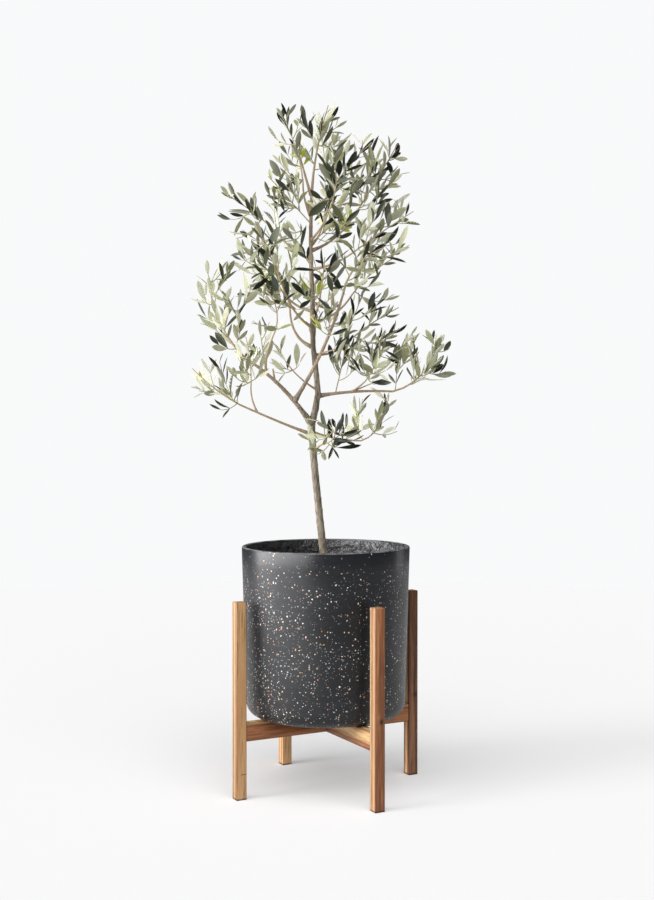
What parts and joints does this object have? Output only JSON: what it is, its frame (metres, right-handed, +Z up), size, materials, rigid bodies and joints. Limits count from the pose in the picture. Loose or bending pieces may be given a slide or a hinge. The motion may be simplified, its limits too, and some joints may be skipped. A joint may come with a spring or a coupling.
{
  "type": "potted olive tree",
  "caption": "Young olive tree with a slim forked trunk and an open crown, in a round speckled planter on a low wooden stand, for a patio or a room",
  "frame": {"origin": "on the floor under the axis of the stand", "axes": "+Z up along the trunk, -Y towards the front as the picture shows it, +X to the viewer's right"},
  "size_m": [0.4994, 0.4063, 1.2647],
  "materials": {
    "stand_wood": "satin",
    "pot_terrazzo": "matte",
    "soil": "matte",
    "bark": "matte",
    "leaf": "matte"
  },
  "bodies": {
    "root": {"leg_back_right": "stand_wood", "leg_back_left": "stand_wood", "leg_front_left": "stand_wood", "leg_front_right": "stand_wood", "bar_left_right": "stand_wood", "bar_front_back": "stand_wood", "pot": "pot_terrazzo", "soil": "soil", "trunk": "bark", "bough_left_fork": "bark", "bough_crossing": "bark", "bough_left_low": "bark", "bough_left_rising": "bark", "bough_left_thin": "bark", "bough_right_long": "bark", "bough_right_middle": "bark", "bough_right_low": "bark", "bough_front_short": "bark", "bough_left_small": "bark", "bough_left_upper": "bark", "bough_right_thin": "bark", "bough_right_shoulder": "bark", "bough_upper_right": "bark", "bough_upper_left": "bark", "bough_top_left": "bark", "bough_top_right": "bark", "bough_back_low": "bark", "bough_back_right": "bark", "bough_back_left": "bark", "bough_back_high": "bark", "bough_front_left": "bark", "bough_front_low": "bark", "bough_front_high": "bark", "leaves_top": "leaf", "leaves_top_left": "leaf", "leaves_top_right": "leaf", "leaves_upper_right": "leaf", "leaves_right_shoulder": "leaf", "leaves_upper_left": "leaf", "leaves_left_upper": "leaf", "leaves_left": "leaf", "leaves_left_thin": "leaf", "leaves_left_rising": "leaf", "leaves_far_left": "leaf", "leaves_left_small": "leaf", "leaves_crossing": "leaf", "leaves_right_thin": "leaf", "leaves_right_long": "leaf", "leaves_right_middle": "leaf", "leaves_right_low": "leaf", "leaves_front_short": "leaf", "leaves_back_low": "leaf", "leaves_back_right": "leaf", "leaves_back_left": "leaf", "leaves_back_high": "leaf", "leaves_front_left": "leaf", "leaves_front_low": "leaf", "leaves_front_high": "leaf"}
  },
  "joints": []
}
